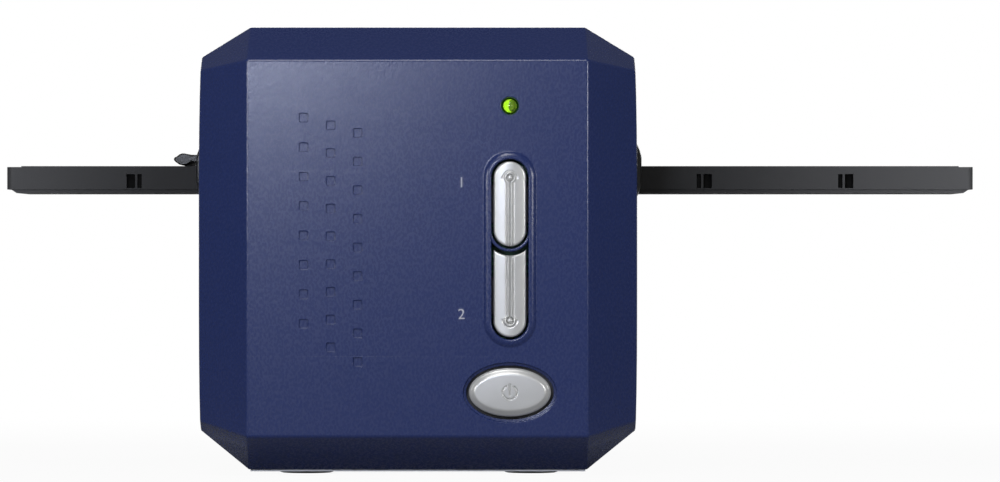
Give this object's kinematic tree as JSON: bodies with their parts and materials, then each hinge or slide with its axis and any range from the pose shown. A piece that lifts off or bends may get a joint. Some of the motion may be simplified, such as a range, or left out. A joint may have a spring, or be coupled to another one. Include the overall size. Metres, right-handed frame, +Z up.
{
  "type": "film negative scanner",
  "caption": "Desktop film scanner: faceted box housing with scan and power buttons, and a sliding film strip holder that passes through hinged dust flaps in its sides.",
  "frame": {"origin": "on the desk, under the middle of the housing", "axes": "+Z up, the button panel faces -Y, the film holder slides along X"},
  "size_m": [0.2596, 0.2737, 0.1185],
  "materials": {
    "housing_blue": "navy satin moulded plastic with a fine grain",
    "base_grey": "light grey moulded plastic",
    "foot_rubber": "black rubber",
    "screw_steel": "zinc-plated steel",
    "button_silver": "satin silver plated plastic",
    "switch_black": "black moulded plastic",
    "board_green": "green circuit board",
    "lamp_green": "clear green lamp",
    "holder_black": "black satin plastic",
    "pin_steel": "polished steel",
    "bezel_black": "black satin plastic",
    "chassis_steel": "zinc-plated sheet steel",
    "rail_black": "black glass-filled plastic",
    "bush_bronze": "sintered bronze",
    "mirror_glass": "front-silvered mirror",
    "lens_glass": "clear glass",
    "lamp_white": "white diffusing plastic",
    "gear_white": "white moulded plastic",
    "motor_can": "plated steel can",
    "belt_rubber": "black rubber",
    "socket_metal": "tinned steel shell",
    "jack_black": "black moulded plastic",
    "cable_grey": "grey flat cable"
  },
  "bodies": {
    "scanner": {"front_cover": "housing_blue", "main_housing": "housing_blue", "rear_cover": "housing_blue", "base_plate": "base_grey", "feet": "foot_rubber", "base_screws": "screw_steel", "inner_screws": "screw_steel", "tactile_switches": "switch_black", "board_components": "switch_black", "button_board": "board_green", "main_board": "board_green", "status_lamp": "lamp_green", "flap_pins": "pin_steel", "guide_rod": "pin_steel", "pulley_pins": "pin_steel", "detent_spring": "pin_steel", "left_slot_bezel": "bezel_black", "right_slot_bezel": "bezel_black", "chassis": "chassis_steel", "film_gate_mask": "chassis_steel", "support_rail": "chassis_steel", "motor_bracket": "chassis_steel", "idler_bracket": "chassis_steel", "front_guide_rail": "rail_black", "rear_guide_rail": "rail_black", "rod_holders": "rail_black", "stepper_motor": "motor_can", "drive_belt": "belt_rubber", "usb_socket": "socket_metal", "power_jack": "jack_black", "button_cable": "cable_grey", "carriage_cable": "cable_grey"},
    "film_holder": {"holder_tray": "holder_black", "holder_lid": "holder_black", "lid_hinge_pins": "pin_steel", "lid_latches": "holder_black"},
    "left_flap": {"left_dust_flap": "bezel_black"},
    "right_flap": {"right_dust_flap": "bezel_black"},
    "upper_button": {"upper_scan_button": "button_silver", "upper_switch_plunger": "switch_black"},
    "lower_button": {"lower_scan_button": "button_silver", "lower_switch_plunger": "switch_black"},
    "power_switch": {"power_button": "button_silver", "power_switch_plunger": "switch_black"},
    "carriage": {"carriage_box": "rail_black", "carriage_lid": "rail_black", "rod_bushes": "bush_bronze", "fold_mirror": "mirror_glass", "lens_barrel": "rail_black", "lens_elements": "lens_glass", "line_sensor": "switch_black", "sensor_board": "board_green", "lamp_arm": "rail_black", "lamp_strip": "lamp_white", "lamp_diffuser": "lamp_white", "belt_clamp": "rail_black"},
    "drive_gear": {"reduction_gear": "gear_white"},
    "belt_idler": {"idler_pulley": "gear_white"},
    "motor_rotor": {"motor_shaft": "pin_steel", "motor_pinion": "gear_white"}
  },
  "joints": [
    {"name": "holder_slide", "type": "slide", "parent": "scanner", "child": "film_holder", "axis": [1, 0, 0], "range_m": [-0.114, 0.176]},
    {"name": "left_flap_hinge", "type": "hinge", "parent": "scanner", "child": "left_flap", "pos_m": [-0.0578, -0.06175, 0.0843], "axis": [0, 1, 0], "range_deg": [0, 18]},
    {"name": "right_flap_hinge", "type": "hinge", "parent": "scanner", "child": "right_flap", "pos_m": [0.0578, -0.06175, 0.0843], "axis": [0, 1, 0], "range_deg": [0, 14]},
    {"name": "upper_button_press", "type": "slide", "parent": "scanner", "child": "upper_button", "axis": [0, 1, 0], "range_m": [0, 0.0005], "stiffness_N_per_m": 1200},
    {"name": "lower_button_press", "type": "slide", "parent": "scanner", "child": "lower_button", "axis": [0, 1, 0], "range_m": [0, 0.0005], "stiffness_N_per_m": 1200},
    {"name": "power_button_press", "type": "slide", "parent": "scanner", "child": "power_switch", "axis": [0, 1, 0], "range_m": [0, 0.0005], "stiffness_N_per_m": 1200},
    {"name": "carriage_slide", "type": "slide", "parent": "scanner", "child": "carriage", "axis": [0, 1, 0], "range_m": [0, 0.026], "deforming": ["carriage_cable"]},
    {"name": "drive_gear_turn", "type": "hinge", "parent": "scanner", "child": "drive_gear", "pos_m": [0.0468, 0.094, 0.024], "axis": [1, 0, 0], "range_deg": [-226, 0]},
    {"name": "belt_idler_turn", "type": "hinge", "parent": "scanner", "child": "belt_idler", "pos_m": [0.0468, -0.088, 0.024], "axis": [1, 0, 0], "range_deg": [-226, 0]},
    {"name": "motor_turn", "type": "hinge", "parent": "scanner", "child": "motor_rotor", "pos_m": [0.0421, 0.094, 0.0422], "axis": [1, 0, 0], "range_deg": [0, 753]}
  ],
  "couplings": [
    {"joint": "drive_gear_turn", "follows": "carriage_slide", "rad_per_m": -151.52},
    {"joint": "belt_idler_turn", "follows": "carriage_slide", "rad_per_m": -151.52},
    {"joint": "motor_turn", "follows": "carriage_slide", "rad_per_m": 505.05}
  ]
}
